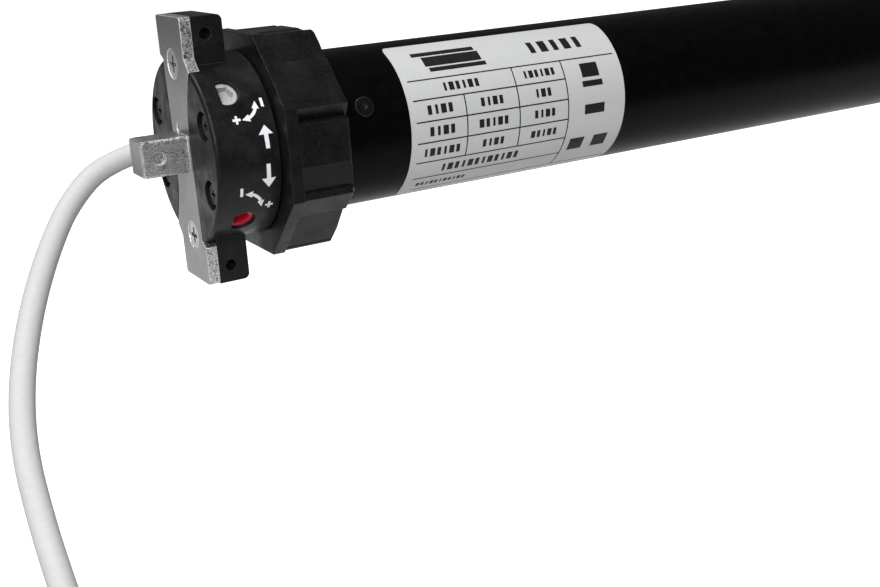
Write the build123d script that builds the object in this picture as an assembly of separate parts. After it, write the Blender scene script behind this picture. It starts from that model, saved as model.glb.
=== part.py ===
from build123d import *
import math
import os

# A tubular roller blind motor, as separate pieces.
# X runs along the motor, from the square mounting pin (x below 0) to the drive wheel. Z is up, along the
# mounting bar. The origin is on the motor's axis, in the outer face of the bar, at the root of the pin.
# Angles round the axis are in degrees from +Y towards +Z. Lengths are in millimetres.

# Driving dimensions
tube_diameter = 45.0
tube_wall = 1.5
across_flats = 60.0
side_play = 0.6
running_gap = 0.3
drum_step = 2.7
plug_fit = 0.1
cable_diameter = 6.3
bench_drop = 86.0
overrun = 1.0

tube_radius = tube_diameter / 2
tube_bore_radius = tube_radius - tube_wall
plug_radius = tube_bore_radius - plug_fit
drum_radius = tube_radius + drum_step
cable_radius = cable_diameter / 2
apothem = across_flats / 2

# Stations along the motor, each from the one before
bar_thickness = 3.0
pin_length = 13.0
drum_length = 17.4
crown_length = 18.4
core_plug_length = 25.0
capacitor_gap = 4.0
capacitor_length = 55.0
lead_room = 13.0
shield_thickness = 8.0
winding_overhang = 8.0
shield_rim = 14.0
stack_length = 90.0
brake_length = 30.0
gearbox_gap = 2.0
planet_widths = (16.0, 22.0, 32.0)
carrier_plate = 3.0
planet_side_gap = 0.4
stage_gap = 2.0
rear_plate = 5.0
flange_length = 52.0
collar_thickness = 3.0
wheel_gap = 2.0
wheel_length = 22.0
shaft_tip = 3.0

crown_start = drum_length + side_play
crown_end = crown_start + crown_length
tube_start = crown_end + side_play
core_end = tube_start + core_plug_length
capacitor_start = core_end + capacitor_gap
capacitor_end = capacitor_start + capacitor_length
rear_shield_start = capacitor_end + lead_room
stack_start = rear_shield_start + shield_thickness + shield_rim
stack_end = stack_start + stack_length
front_shield_start = stack_end + shield_rim
front_shield_end = front_shield_start + shield_thickness
brake_end = front_shield_end + brake_length
ring_start = brake_end + gearbox_gap


def stage_stations():
    """Where each gear stage's parts start and end along the motor."""
    stages = []
    here = ring_start + stage_gap
    for width in planet_widths:
        planet_start = here + carrier_plate + planet_side_gap
        planet_end = planet_start + width
        plate_start = planet_end + planet_side_gap
        plate_end = plate_start + rear_plate
        stages.append((here, planet_start, planet_end, plate_start, plate_end))
        here = plate_end + stage_gap
    return stages


stages = stage_stations()
ring_end = stages[-1][4] + stage_gap
flange_end = ring_end + flange_length
tube_end = flange_end
wheel_start = tube_end + collar_thickness + wheel_gap
wheel_end = wheel_start + wheel_length
shaft_end = wheel_end + shaft_tip

nodes = {}


def rod(radius, start, end, y=0, z=0):
    """A cylinder along X between two stations."""
    return extrude(Plane.YZ.offset(start) * Pos(y, z) * Circle(radius), amount=end - start)


def sleeve(outer, inner, start, end, y=0, z=0):
    return rod(outer, start, end, y, z) - rod(inner, start - overrun, end + overrun, y, z)


def block(start, end, y_low, y_high, z_low, z_high):
    """A box between two corners."""
    middle = Pos((start + end) / 2, (y_low + y_high) / 2, (z_low + z_high) / 2)
    return middle * Box(end - start, y_high - y_low, z_high - z_low)


def spoke(radius, inner, outer, x, angle):
    """A cylinder that points out from the axis, between two distances from it."""
    out = Vector(0, math.cos(math.radians(angle)), math.sin(math.radians(angle)))
    plane = Plane(origin=Vector(x, 0, 0) + out * inner, x_dir=(1, 0, 0), z_dir=out)
    return extrude(plane * Circle(radius), amount=outer - inner)


def around(distance, angle):
    """The Y and Z of a point at a distance from the axis."""
    return distance * math.cos(math.radians(angle)), distance * math.sin(math.radians(angle))


def plate(points, start, end):
    """An outline in Y and Z, as a plate between two stations."""
    return extrude(Plane.YZ.offset(start) * make_face(Polyline(*points, close=True)), amount=end - start)


def octagon(flat_distance, start, end):
    """An eight-sided bar along X with a flat facing each of Y and Z."""
    sides = 8
    corner = flat_distance / math.cos(math.pi / sides)
    points = [around(corner, (side + 0.5) * 360 / sides) for side in range(sides)]
    return plate(points, start, end)


# Gears. A tooth's flank is four points of its involute. The teeth of a pair are thinned by the same play.
pressure_angle = math.radians(25)
addendum_share = 0.8
dedendum_share = 1.05
tooth_play = 0.06


def involute(angle):
    return math.tan(angle) - angle


def gear_points(teeth, module, root, tip, half_play, turn):
    """The outline of a gear's teeth; one tooth's middle lies at the angle turn."""
    pitch_radius = teeth * module / 2
    base_radius = pitch_radius * math.cos(pressure_angle)
    half_pitch_tooth = math.pi / (2 * teeth) - half_play / pitch_radius
    flank = []
    for share in (0, 0.35, 0.7, 1):
        radius = root + (tip - root) * share
        opening = math.acos(min(1, base_radius / radius))
        half = half_pitch_tooth + involute(pressure_angle) - involute(opening)
        flank.append((radius, half))
    points = []
    for tooth in range(teeth):
        middle = math.radians(turn) + tooth * 2 * math.pi / teeth
        rising = [(radius, middle - half) for radius, half in flank]
        falling = [(radius, middle + half) for radius, half in reversed(flank)]
        for radius, angle in rising + falling:
            points.append((radius * math.cos(angle), radius * math.sin(angle)))
    return points


def pinion_gear(teeth, module, start, end, y=0, z=0, turn=0):
    """An outside-toothed gear along X."""
    pitch_radius = teeth * module / 2
    root = pitch_radius - dedendum_share * module
    tip = pitch_radius + addendum_share * module
    points = [(y + py, z + pz) for py, pz in gear_points(teeth, module, root, tip, tooth_play, turn)]
    return plate(points, start, end)


def ring_gap(teeth, module, start, end, turn=0):
    """The space inside an inside-toothed gear; a gap between two of its teeth lies at the angle turn."""
    pitch_radius = teeth * module / 2
    inner = pitch_radius - addendum_share * module
    outer = pitch_radius + dedendum_share * module
    return plate(gear_points(teeth, module, inner, outer, 0, turn), start, end)


# Mounting bar: a die-cast bow-tie plate with the square pin that the wall bracket holds.
bar_overhang = 10.8
bar_tab_half = 9.2
bar_waist_half = 6.2
bar_shoulder_half = 11.8
bar_neck_half = 6.9
bar_tab_gap = 0.2
bar_corner = 1.0
pin_width = 10.0
pin_corner = 0.8
pin_dimple_radius = 1.75
pin_dimple_depth = 1.0
pin_dimple_place = -8.3
ejector_mark_radius = 1.6
ejector_mark_depth = 0.3
ejector_mark_side = 1.2
ejector_mark_height = 6.2
bar_screw_inset = 1.7
bar_screw_head_radius = 4.0
bar_screw_sink = 0.25
bar_screw_shank_radius = 2.0
bar_screw_cone = 2.3
bar_screw_length = 12.0
bar_screw_clearance = 0.2

bar_reach = drum_radius + bar_overhang
bar_tab_foot = drum_radius + bar_tab_gap
bar_shoulder_height = math.sqrt(drum_radius ** 2 - bar_shoulder_half ** 2)
bar_neck_height = math.sqrt(drum_radius ** 2 - bar_neck_half ** 2)
bar_screw_place = drum_radius - bar_screw_inset


def bar_face():
    """The bar's outline. Each half has a wide and a narrow side, and the two halves are turned round."""
    edges = []
    for side in (1, -1):
        corner, foot = (-side * bar_tab_half, side * bar_reach), (-side * bar_tab_half, side * bar_tab_foot)
        shoulder = (-side * bar_shoulder_half, side * bar_shoulder_height)
        waist, neck = (-side * bar_waist_half, 0), (-side * bar_neck_half, -side * bar_neck_height)
        next_foot, next_corner = (foot[0], -foot[1]), (corner[0], -corner[1])
        inward = Vector(*waist) - Vector(*neck)
        edges += [Line(corner, foot), Line(foot, shoulder), TangentArc(waist, shoulder, tangent=inward),
                  Line(waist, neck), Line(neck, next_foot), Line(next_foot, next_corner),
                  Line(next_corner, (-next_corner[0], next_corner[1]))]
    return make_face(Wire(edges))


def mounting_bracket():
    face = bar_face()
    ends = [corner for corner in face.vertices() if abs(corner.Y) > bar_tab_foot + bar_corner]
    bar = extrude(Plane.YZ * fillet(ends, bar_corner), amount=bar_thickness)
    square = Rectangle(pin_width, pin_width)
    pin = extrude(Plane.YZ.offset(-pin_length) * fillet(square.vertices(), pin_corner),
                  amount=pin_length + bar_thickness / 2)
    pin = chamfer(pin.faces().sort_by(Axis.X)[0].edges(), pin_corner / 2)
    bar += pin
    bar -= Pos(pin_dimple_place, -pin_width / 2, 0) * Rot(90, 0, 0) * Cylinder(
        pin_dimple_radius, 2 * pin_dimple_depth)
    bar -= rod(ejector_mark_radius, 0, ejector_mark_depth, ejector_mark_side, ejector_mark_height)
    for side in (1, -1):
        place = side * bar_screw_place
        bar -= rod(bar_screw_shank_radius + bar_screw_clearance, -overrun, bar_thickness + overrun, 0, place)
        bar -= countersink(place) + rod(bar_screw_head_radius, -overrun, bar_screw_sink, 0, place)
    return bar


def countersink(place):
    """The cone of a countersunk head, a little below the bar's face."""
    return Pos(bar_screw_sink, 0, place) * Rot(0, 90, 0) * Cone(
        bar_screw_head_radius, bar_screw_shank_radius, bar_screw_cone,
        align=(Align.CENTER, Align.CENTER, Align.MIN))


cross_width = 1.0
cross_span = 4.4
cross_depth = 1.3


def cross_recess(x, y, z, span=cross_span, depth=cross_depth):
    """A cross-shaped driver recess that goes in along +X from a screw's face."""
    recess = block(x - overrun, x + depth, y - span / 2, y + span / 2, z - cross_width / 2,
                   z + cross_width / 2)
    return recess + block(x - overrun, x + depth, y - cross_width / 2, y + cross_width / 2,
                          z - span / 2, z + span / 2)


def bracket_screws():
    screws = []
    for side in (1, -1):
        place = side * bar_screw_place
        screw = countersink(place) + rod(bar_screw_shank_radius, bar_screw_cone, bar_screw_length, 0, place)
        screws.append(screw - cross_recess(bar_screw_sink, 0, place))
    return Compound(screws)


nodes["mounting_bracket"] = mounting_bracket()
nodes["bracket_screws"] = bracket_screws()

# Head housing: a moulded drum behind the bar, with an ear behind each tab of the bar.
drum_wall = 2.4
face_thickness = 4.5
drum_edge = 1.0
ear_end = 11.6
ear_corner = 1.6
ear_hole_radius = 1.6
ear_hole_offset = 6.1
ear_hole_station = 6.6
screw_boss_inset = 6.2
screw_boss_half = 6.0
screw_boss_end = 11.2
face_screw_inset = 5.08
face_screw_angle = 26.57
face_recess_radius = 4.0
face_recess_depth = 2.5
post_radius = 2.3
post_split = 12.0
face_screw_radius = 1.25
face_screw_bore = 1.45
face_screw_head_radius = 2.75
face_screw_head_height = 1.7
face_screw_end = 16.8
adjuster_stations = {"limit_screw_up": 6.7, "limit_screw_down": 7.7}
adjuster_angles = {"limit_screw_up": 137.5, "limit_screw_down": 223.5}
adjuster_head_radius = 3.4
adjuster_head_inset = 1.1
adjuster_head_length = 2.8
adjuster_stem_radius = 1.5
adjuster_tip = 9.6
adjuster_collar_radius = 2.2
adjuster_collar_length = 1.8
adjuster_play = 0.1
port_radius = 3.5
port_mouth_radius = 3.7
port_lip = 5.0
bearing_block_inner = 11.6
bearing_block_outer = 15.6
bearing_block_half = 2.4
bearing_block_end = 10.5
core_flange_start = 15.9
gear_plane_start = 12.4
gear_plane_end = 15.0
train_module = 0.5
shaft_gear_teeth = 12
idler_teeth = 24
spindle_gear_teeth = 30
crown_module = 0.8
crown_gear_teeth = 54
limit_pinion_teeth = 12
train_shaft_radius = 1.5
train_shaft_bore = 1.58
train_hub_radius = 2.5
train_boss_radius = 2.9
boss_clearance = 0.3
peg_engagement = 1.4

pinion_height = (crown_gear_teeth - limit_pinion_teeth) * crown_module / 2
idler_height = pinion_height - (shaft_gear_teeth + idler_teeth) * train_module / 2
spindle_spacing = (idler_teeth + spindle_gear_teeth) * train_module / 2
spindle_y = spindle_spacing * math.cos(math.pi / 4)
spindle_z = idler_height - spindle_y
train_boss_end = gear_plane_start - boss_clearance
ear_hole_place = drum_radius + ear_hole_offset
screw_boss_root = drum_radius - screw_boss_inset
face_screw_y, face_screw_z = around(drum_radius - face_screw_inset, face_screw_angle)
adjuster_head_top = drum_radius - adjuster_head_inset
adjuster_head_root = adjuster_head_top - adjuster_head_length

# Cable outlet, behind the drum on its +Y side
cable_gap = 0.35
cable_y = drum_radius + cable_radius + cable_gap
cable_z = -2.5
cable_exit = 4.0
gland_wall = 1.2
gland_collar = 1.0
gland_step = 0.5
gland_end = 6.6
outlet_start = 5.2
outlet_end = 16.0
outlet_wall = 2.2
outlet_corner = 1.2
core_wire_radius = 0.6
core_wire_spacing = 1.35
core_wire_first = 7.4
chamber_top = -1.2
chamber_bottom = -5.5
chamber_depth = 5.7
gland_radius = cable_radius + gland_wall
outlet_reach = cable_y + gland_radius + outlet_wall / 2
chamber_inner = drum_radius - chamber_depth


def head_housing():
    body = rod(drum_radius, 0, drum_length)
    body = fillet(body.faces().sort_by(Axis.X)[0].edges(), drum_edge)
    for side in (1, -1):
        low, high = sorted((side * screw_boss_root, side * bar_reach))
        profile = Plane.XZ * Pos((bar_thickness + ear_end) / 2, (low + high) / 2) * Rectangle(
            ear_end - bar_thickness, high - low)
        tip = [corner for corner in profile.vertices() if side * corner.Z > bar_tab_foot and corner.X > ear_end / 2]
        body += extrude(fillet(tip, ear_corner), amount=bar_tab_half, both=True)
    outlet = block(outlet_start, outlet_end, 0, outlet_reach, cable_z - gland_radius - outlet_wall / 2,
                   cable_z + gland_radius + outlet_wall / 2)
    body += fillet(outlet.edges().filter_by(Axis.X).group_by(Axis.Y)[-1], outlet_corner)
    body -= rod(drum_radius - drum_wall, face_thickness, drum_length + overrun)
    for side in (1, -1):
        low, high = sorted((side * screw_boss_root, side * (drum_radius - drum_wall / 2)))
        body += block(face_thickness - overrun, screw_boss_end, -screw_boss_half, screw_boss_half, low, high)
    for y in (face_screw_y, -face_screw_y):
        for z in (face_screw_z, -face_screw_z):
            body += rod(post_radius, face_thickness - overrun, post_split, y, z)
    body += rod(train_boss_radius, face_thickness - overrun, train_boss_end, 0, pinion_height)
    body += rod(train_boss_radius, face_thickness - overrun, train_boss_end, 0, idler_height)
    for name, angle in adjuster_angles.items():
        bearing = block(face_thickness - overrun, bearing_block_end, bearing_block_inner, bearing_block_outer,
                        -bearing_block_half, bearing_block_half)
        body += Rot(angle, 0, 0) * bearing
    body -= extrude(Plane.YZ * bar_face(), amount=bar_thickness)
    for side in (1, -1):
        body -= rod(bar_screw_shank_radius, bar_thickness - overrun, bar_screw_length, 0,
                    side * bar_screw_place)
        body -= Pos(ear_hole_station, 0, side * ear_hole_place) * Rot(90, 0, 0) * Cylinder(
            ear_hole_radius, 2 * bar_tab_half + overrun)
    for y in (face_screw_y, -face_screw_y):
        for z in (face_screw_z, -face_screw_z):
            body -= rod(face_recess_radius, -overrun, face_recess_depth, y, z)
            body -= rod(face_screw_bore, 0, drum_length, y, z)
    for name, angle in adjuster_angles.items():
        station = adjuster_stations[name]
        body -= spoke(port_radius, adjuster_head_root - running_gap, adjuster_head_top + running_gap,
                      station, angle)
        mouth = spoke(port_mouth_radius, adjuster_head_top, drum_radius + overrun, station, angle)
        body -= split(mouth, bisect_by=Plane.YZ.offset(port_lip), keep=Keep.TOP)
        body -= spoke(adjuster_stem_radius + adjuster_play, adjuster_tip, adjuster_head_root, station, angle)
    for height in (pinion_height, idler_height):
        body -= rod(train_shaft_bore, train_boss_end - peg_engagement - overrun, train_boss_end + overrun,
                    0, height)
    body -= rod(gland_radius, outlet_start - gland_collar, gland_end, cable_y, cable_z)
    last_wire = core_wire_first + core_wire_spacing * 3 + core_wire_radius
    body -= block(gland_end, last_wire + boss_clearance / 2, chamber_inner, outlet_reach - outlet_wall,
                  chamber_bottom, chamber_top)
    return body


def face_screws():
    screws = []
    for y in (face_screw_y, -face_screw_y):
        for z in (face_screw_z, -face_screw_z):
            top = face_recess_depth - face_screw_head_height
            screw = rod(face_screw_head_radius, top, face_recess_depth, y, z)
            screw += rod(face_screw_radius, top, face_screw_end, y, z)
            screws.append(screw - cross_recess(top, y, z, face_screw_head_radius, face_screw_head_height / 2))
    return Compound(screws)


socket_across = 4.6
socket_depth = 2.0


def limit_screw(name):
    """An adjusting screw that points out of the drum's side, with a hex socket in its head."""
    station, angle = adjuster_stations[name], adjuster_angles[name]
    screw = spoke(adjuster_head_radius, adjuster_head_root, adjuster_head_top, station, angle)
    screw += spoke(adjuster_stem_radius, adjuster_tip, adjuster_head_root, station, angle)
    screw += spoke(adjuster_collar_radius, adjuster_tip, adjuster_tip + adjuster_collar_length, station,
                   angle)
    out = Vector(0, *around(1, angle))
    seat = Plane(origin=Vector(station, 0, 0) + out * (adjuster_head_top - socket_depth), x_dir=(1, 0, 0),
                 z_dir=out)
    socket = RegularPolygon(socket_across / 2, 6, major_radius=False)
    return screw - extrude(seat * socket, amount=socket_depth + overrun)


nodes["head_housing"] = head_housing()
nodes["face_screws"] = face_screws()
for name in adjuster_angles:
    nodes[name] = limit_screw(name)

# Terminal block in the drum, and the wires on both of its sides
terminal_start = 5.0
terminal_end = 12.0
terminal_half = 6.5
terminal_height = 6.9
terminal_gap = 4.4
terminal_wire_height = 3.6
wire_bend_y = 14.0
wire_bend_z = -4.5
wire_run_in = 3.0
wire_bend_radii = (0.7, 2.0, 1.5)
lead_wire_radius = 0.8
lead_wire_circle = 16.6
lead_wire_angles = (258.0, 270.0, 282.0)
lead_hole_radius = 1.1
lead_notch_half = 5.4
lead_notch_top = 14.9
winding_reach = 17.6

terminal_bottom = -(drum_radius - drum_wall - terminal_gap)
terminal_top = terminal_bottom + terminal_height
terminal_wire_z = terminal_bottom + terminal_wire_height


def cable_gland():
    gland = sleeve(gland_radius, cable_radius, outlet_start, gland_end, cable_y, cable_z)
    return gland + sleeve(gland_radius - gland_step, cable_radius, outlet_start - gland_collar, outlet_start,
                          cable_y, cable_z)


def cable_tail():
    sheath = rod(cable_radius, cable_exit - overrun, gland_end, cable_y, cable_z)
    first_run = Vector(cable_route[1]) - Vector(cable_route[0])
    tail = [split(sheath, bisect_by=Plane(origin=cable_route[0], z_dir=first_run), keep=Keep.BOTTOM)]
    for wire in range(4):
        level = core_wire_first + wire * core_wire_spacing
        y = cable_y + (wire - 1.5) * core_wire_spacing
        path = FilletPolyline((gland_end, y, cable_z), (level, y, cable_z), (level, wire_bend_y, wire_bend_z),
                              (level, terminal_half + wire_run_in, terminal_wire_z),
                              (level, terminal_half, terminal_wire_z), radius=wire_bend_radii)
        tail.append(sweep(Plane(origin=path @ 0, z_dir=path % 0) * Circle(core_wire_radius), path=path))
    return Compound(tail)


def terminal_block():
    body = block(terminal_start, terminal_end, -terminal_half, terminal_half, terminal_bottom, terminal_top)
    ways = len(lead_wire_angles) + 1
    pitch = 2 * terminal_half / ways
    for way in range(ways):
        y = -terminal_half + (way + 0.5) * pitch
        body -= Pos((terminal_start + terminal_end) / 2, y, terminal_top) * Cylinder(pitch / 3, pitch)
    return body


def lead_wires():
    wires = [rod(lead_wire_radius, terminal_end, stack_start - winding_overhang,
                 *around(lead_wire_circle, angle))
             for angle in lead_wire_angles]
    return Compound(wires)


def lead_notch(start, end):
    """The passage for the lead wires through a ring or a shield."""
    return block(start - overrun, end + overrun, -lead_notch_half, lead_notch_half,
                 -lead_wire_circle - lead_hole_radius, -lead_notch_top)


nodes["cable_gland"] = cable_gland()
nodes["terminal_block"] = terminal_block()
nodes["lead_wires"] = lead_wires()

# Limit switch core: the moulded carrier that joins the drum to the tube, and that the crown turns on.
journal_radius = 19.9
core_bore_radius = 18.0
core_front_end = 23.6
core_flange_play = 0.2
pinion_start = 19.0
pinion_end = 21.0
pinion_pocket_play = 0.4
bridge_start = 54.4
bridge_end = 58.0
bridge_bottom = -6.0
bridge_top = 11.0
nut_rail_y = 15.0
nut_rail_half = 1.2
tube_screw_place = 7.8
tube_screw_angles = (158.3, 338.3)
tube_screw_radius = 1.25
tube_screw_depth = 17.4
tube_screw_head_radius = 2.75
tube_screw_head_height = 1.2


def limit_switch_core():
    body = rod(drum_radius - drum_wall - core_flange_play, core_flange_start, drum_length)
    body += rod(journal_radius, drum_length - overrun, tube_start)
    body += rod(plug_radius, tube_start, core_end)
    body -= rod(core_bore_radius, core_front_end, core_end + overrun)
    body += block(bridge_start, bridge_end, -core_bore_radius, core_bore_radius, bridge_bottom,
                  bridge_top) & rod(journal_radius, bridge_start, bridge_end)
    for y in (face_screw_y, -face_screw_y):
        for z in (face_screw_z, -face_screw_z):
            body += rod(post_radius, post_split, drum_length, y, z)
            body -= rod(face_screw_radius, post_split - overrun, drum_length, y, z)
    body += rod(train_shaft_radius, train_boss_end - peg_engagement + boss_clearance,
                core_flange_start + overrun,
                0, idler_height)
    pocket = (limit_pinion_teeth * crown_module / 2 + addendum_share * crown_module) + pinion_pocket_play
    body -= rod(pocket, core_flange_start - overrun, pinion_end + pinion_pocket_play, 0, pinion_height)
    body -= rod(train_shaft_bore, core_flange_start, core_front_end + overrun, 0, pinion_height)
    for y in (spindle_y, -spindle_y):
        body -= rod(train_shaft_bore, core_flange_start - overrun, core_front_end + overrun, y, spindle_z)
        body -= rod(train_shaft_bore, bridge_start - overrun, bridge_end + overrun, y, spindle_z)
    for side in (1, -1):
        low, high = sorted((side * (nut_rail_y + running_gap), side * core_bore_radius))
        rail = block(core_front_end - overrun, bridge_start + overrun, low, high, spindle_z - nut_rail_half,
                     spindle_z + nut_rail_half)
        body += rail & rod(journal_radius, core_front_end - overrun, bridge_start + overrun)
    for angle in lead_wire_angles:
        body -= rod(lead_hole_radius, core_flange_start - overrun, core_front_end + overrun,
                    *around(lead_wire_circle, angle))
    for angle in tube_screw_angles:
        body -= spoke(tube_screw_radius, tube_screw_depth, plug_radius + overrun,
                      tube_start + tube_screw_place, angle)
    return body


# Gear train from the crown to the two limit spindles
hub_end = 15.6
spindle_thread_radius = 2.0
spindle_shoulder_gap = 0.4
spindle_thread_end = 47.0
spindle_end = 57.4


def limit_pinion():
    body = pinion_gear(limit_pinion_teeth, crown_module, pinion_start, pinion_end, 0, pinion_height)
    body += pinion_gear(shaft_gear_teeth, train_module, gear_plane_start, gear_plane_end, 0, pinion_height)
    return body + rod(train_shaft_radius, train_boss_end - peg_engagement + boss_clearance, core_front_end,
                      0, pinion_height)


def limit_idler():
    turn = 180 / idler_teeth
    body = pinion_gear(idler_teeth, train_module, gear_plane_start, gear_plane_end, 0, idler_height, turn)
    body += rod(train_hub_radius, gear_plane_end - overrun, hub_end, 0, idler_height)
    return body - rod(train_shaft_bore, gear_plane_start - overrun, hub_end + overrun, 0, idler_height)


def limit_spindle(side):
    """A threaded spindle with its gear; side is +1 or -1 for its place in Y."""
    y = side * spindle_y
    turn = 135 if side > 0 else 45
    body = pinion_gear(spindle_gear_teeth, train_module, gear_plane_start, gear_plane_end, y, spindle_z, turn)
    body += rod(train_hub_radius, gear_plane_end - overrun, hub_end, y, spindle_z)
    body += rod(train_shaft_radius, gear_plane_end, spindle_end, y, spindle_z)
    return body + rod(spindle_thread_radius, core_front_end + spindle_shoulder_gap, spindle_thread_end, y,
                      spindle_z)


nut_start = 33.0
nut_length = 7.0
nut_half = 4.0
nut_arm_top = 9.2
nut_arm_half = 2.0
nut_bore_play = 0.08
switch_start = 47.8
switch_half = 6.2
switch_bottom = 3.8
switch_top = 10.3
switch_middle = 8.2
plunger_half = 1.0
plunger_out = 2.2
plunger_in = 1.6
plunger_play = 0.1
plunger_travel = 0.8


def limit_nut(side):
    """A nut that travels along its spindle, kept from turning by a rail of the core."""
    y = side * spindle_y
    low, high = sorted((y - side * nut_half, side * nut_rail_y))
    body = block(nut_start, nut_start + nut_length, low, high, spindle_z - nut_half, spindle_z + nut_half)
    arm = side * switch_middle
    body += block(nut_start, nut_start + nut_length, arm - nut_arm_half, arm + nut_arm_half, spindle_z,
                  nut_arm_top)
    return body - rod(spindle_thread_radius + nut_bore_play, nut_start - overrun,
                      nut_start + nut_length + overrun,
                      y, spindle_z)


def plunger_slot(side, start, end, play):
    middle_y, middle_z = side * switch_middle, (switch_bottom + switch_top) / 2
    half = plunger_half + play
    return block(start, end, middle_y - half, middle_y + half, middle_z - half, middle_z + half)


def microswitch(side):
    middle = side * switch_middle
    body = block(switch_start, bridge_start, middle - switch_half, middle + switch_half, switch_bottom,
                 switch_top)
    return body - plunger_slot(side, switch_start - overrun,
                               switch_start + plunger_in + plunger_travel + plunger_play,
                               plunger_play)


nodes["limit_switch_core"] = limit_switch_core()
nodes["limit_pinion"] = limit_pinion()
nodes["limit_idler"] = limit_idler()
for name, side in (("up", 1), ("down", -1)):
    nodes[f"limit_spindle_{name}"] = limit_spindle(side)
    nodes[f"limit_nut_{name}"] = limit_nut(side)
    nodes[f"microswitch_{name}"] = microswitch(side)
    nodes[f"switch_plunger_{name}"] = plunger_slot(side, switch_start - plunger_out,
                                                   switch_start + plunger_in, 0)

# Crown: the octagonal ring that the roller tube turns with. It runs loose on the core's journal.
crown_flange = 3.4
crown_step = 0.4
crown_bore_radius = journal_radius + running_gap
crown_gear_play = 0.2
crown_chamfer = 0.8
groove_depth = 2.6
recess_depth = 1.3
top_recess_depth = 1.6
low_recess_depth = 2.2
corner_recess_depth = 0.7
slope_end = 0.2
# For each kind of facet: cuts from one share of its half width to another, and how deep at either end
facet_cut_shares = (
    ((0.64, 1.0, groove_depth, slope_end), (-0.86, -0.30, recess_depth, slope_end)),
    ((0.20, 1.0, top_recess_depth, slope_end), (-1.0, -0.78, corner_recess_depth, slope_end)),
    ((0.64, 1.0, groove_depth, slope_end), (-0.86, -0.30, recess_depth, slope_end)),
    ((-0.90, 0.38, slope_end, low_recess_depth),),
)
crown_first_facet = 180


def crown():
    body = octagon(apothem, crown_start, crown_start + crown_flange)
    body += octagon(apothem - crown_step, crown_start + crown_flange - overrun, crown_end)
    body = chamfer(body.faces().sort_by(Axis.X)[-1].edges(), crown_chamfer)
    half_width = apothem * math.tan(math.pi / 8)
    for facet in range(8):
        angle = crown_first_facet - 45 * facet
        for low, high, low_depth, high_depth in facet_cut_shares[facet % 4]:
            floor = apothem - crown_step
            outline = Polyline((floor - low_depth, -low * half_width),
                               (floor - high_depth, -high * half_width),
                               (apothem + overrun, -high * half_width),
                               (apothem + overrun, -low * half_width),
                               close=True)
            side = Plane.YZ.offset(crown_start + crown_flange)
            body -= Rot(angle, 0, 0) * extrude(side * make_face(outline), amount=crown_length)
    body -= rod(crown_bore_radius, crown_start - overrun, crown_end + overrun)
    gear_start = pinion_start - crown_gear_play
    gear_end = pinion_end + crown_gear_play
    body -= ring_gap(crown_gear_teeth, crown_module, gear_start, gear_end, 90)
    return body - rod(drum_radius - drum_wall, crown_start - overrun, gear_start)


nodes["crown"] = crown()

# Motor tube, its screws and the label that wraps round it
label_start = 21.5
label_length = 76.0
label_thickness = 0.15
label_seat_gap = 0.02
label_top_angle = 107.0
label_bottom_angle = 246.0
label_corner = 1.6
rear_screw_place = 12.0


def motor_tube():
    body = sleeve(tube_radius, tube_bore_radius, tube_start, tube_end)
    for place in (tube_start + tube_screw_place, ring_end + rear_screw_place):
        for angle in tube_screw_angles:
            body -= spoke(tube_screw_radius, tube_bore_radius - overrun, tube_radius + overrun, place, angle)
    return body


def tube_screws():
    screws = []
    for place in (tube_start + tube_screw_place, ring_end + rear_screw_place):
        for angle in tube_screw_angles:
            screw = spoke(tube_screw_radius, tube_screw_depth, tube_radius, place, angle)
            screw += spoke(tube_screw_head_radius, tube_radius, tube_radius + tube_screw_head_height,
                           place, angle)
            screws.append(screw - spoke(tube_screw_radius / 2, tube_radius + tube_screw_head_height / 2,
                                        tube_radius + tube_screw_head_height + overrun, place, angle))
    return Compound(screws)


def rating_label():
    start = tube_start + label_start
    inner = tube_radius + label_seat_gap
    skin = sleeve(inner + label_thickness, inner, start, start + label_length)
    middle = (label_top_angle + label_bottom_angle) / 2
    half_arc = math.radians(label_bottom_angle - label_top_angle) / 2
    height = 2 * tube_radius * math.sin(half_arc)
    panel = Rectangle(label_length, height)
    out = Vector(0, *around(1, middle))
    view = Plane(origin=Vector(start + label_length / 2, 0, 0), x_dir=(1, 0, 0), z_dir=out)
    return skin & extrude(view * fillet(panel.vertices(), label_corner), amount=tube_diameter)


nodes["motor_tube"] = motor_tube()
nodes["tube_screws"] = tube_screws()
nodes["rating_label"] = rating_label()

# Run capacitor, held in the tube by two rings
capacitor_radius = 14.0
capacitor_edge = 1.0
capacitor_tab_half = 2.4
capacitor_tab_thickness = 0.8
capacitor_tab_length = 3.0
capacitor_tab_place = 5.0
holding_ring_width = 6.0
holding_ring_inset = 5.0


def capacitor():
    body = rod(capacitor_radius, capacitor_start, capacitor_end)
    body = fillet(body.edges(), capacitor_edge)
    for side in (1, -1):
        y = side * capacitor_tab_place
        body += block(capacitor_start - capacitor_tab_length, capacitor_start + overrun,
                      y - capacitor_tab_thickness / 2, y + capacitor_tab_thickness / 2,
                      -capacitor_tab_half, capacitor_tab_half)
    return body


def capacitor_rings():
    rings = []
    for start in (capacitor_start + holding_ring_inset,
                  capacitor_end - holding_ring_inset - holding_ring_width):
        ring = sleeve(plug_radius, capacitor_radius, start, start + holding_ring_width)
        rings.append(ring - lead_notch(start, start + holding_ring_width))
    return Compound(rings)


nodes["capacitor"] = capacitor()
nodes["capacitor_rings"] = capacitor_rings()

# Induction motor
rotor_radius = 11.2
air_gap = 0.3
shaft_radius = 4.0
bush_radius = 7.0
bush_play = 0.05
bush_length = 7.0
bush_inset = 1.0
shield_rim_inner = 18.6
slot_count = 12
slot_inner = 12.6
slot_outer = 17.5
slot_half_width = 1.7
slot_mouth_half = 0.7
slot_liner = 0.2
winding_round = 2.0
end_ring_length = 6.0
end_ring_inner = 6.5
end_ring_outer = 10.4
shaft_tail = 3.0
rear_shield_hub = 9.0
rear_shield_hub_length = 3.0


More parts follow.
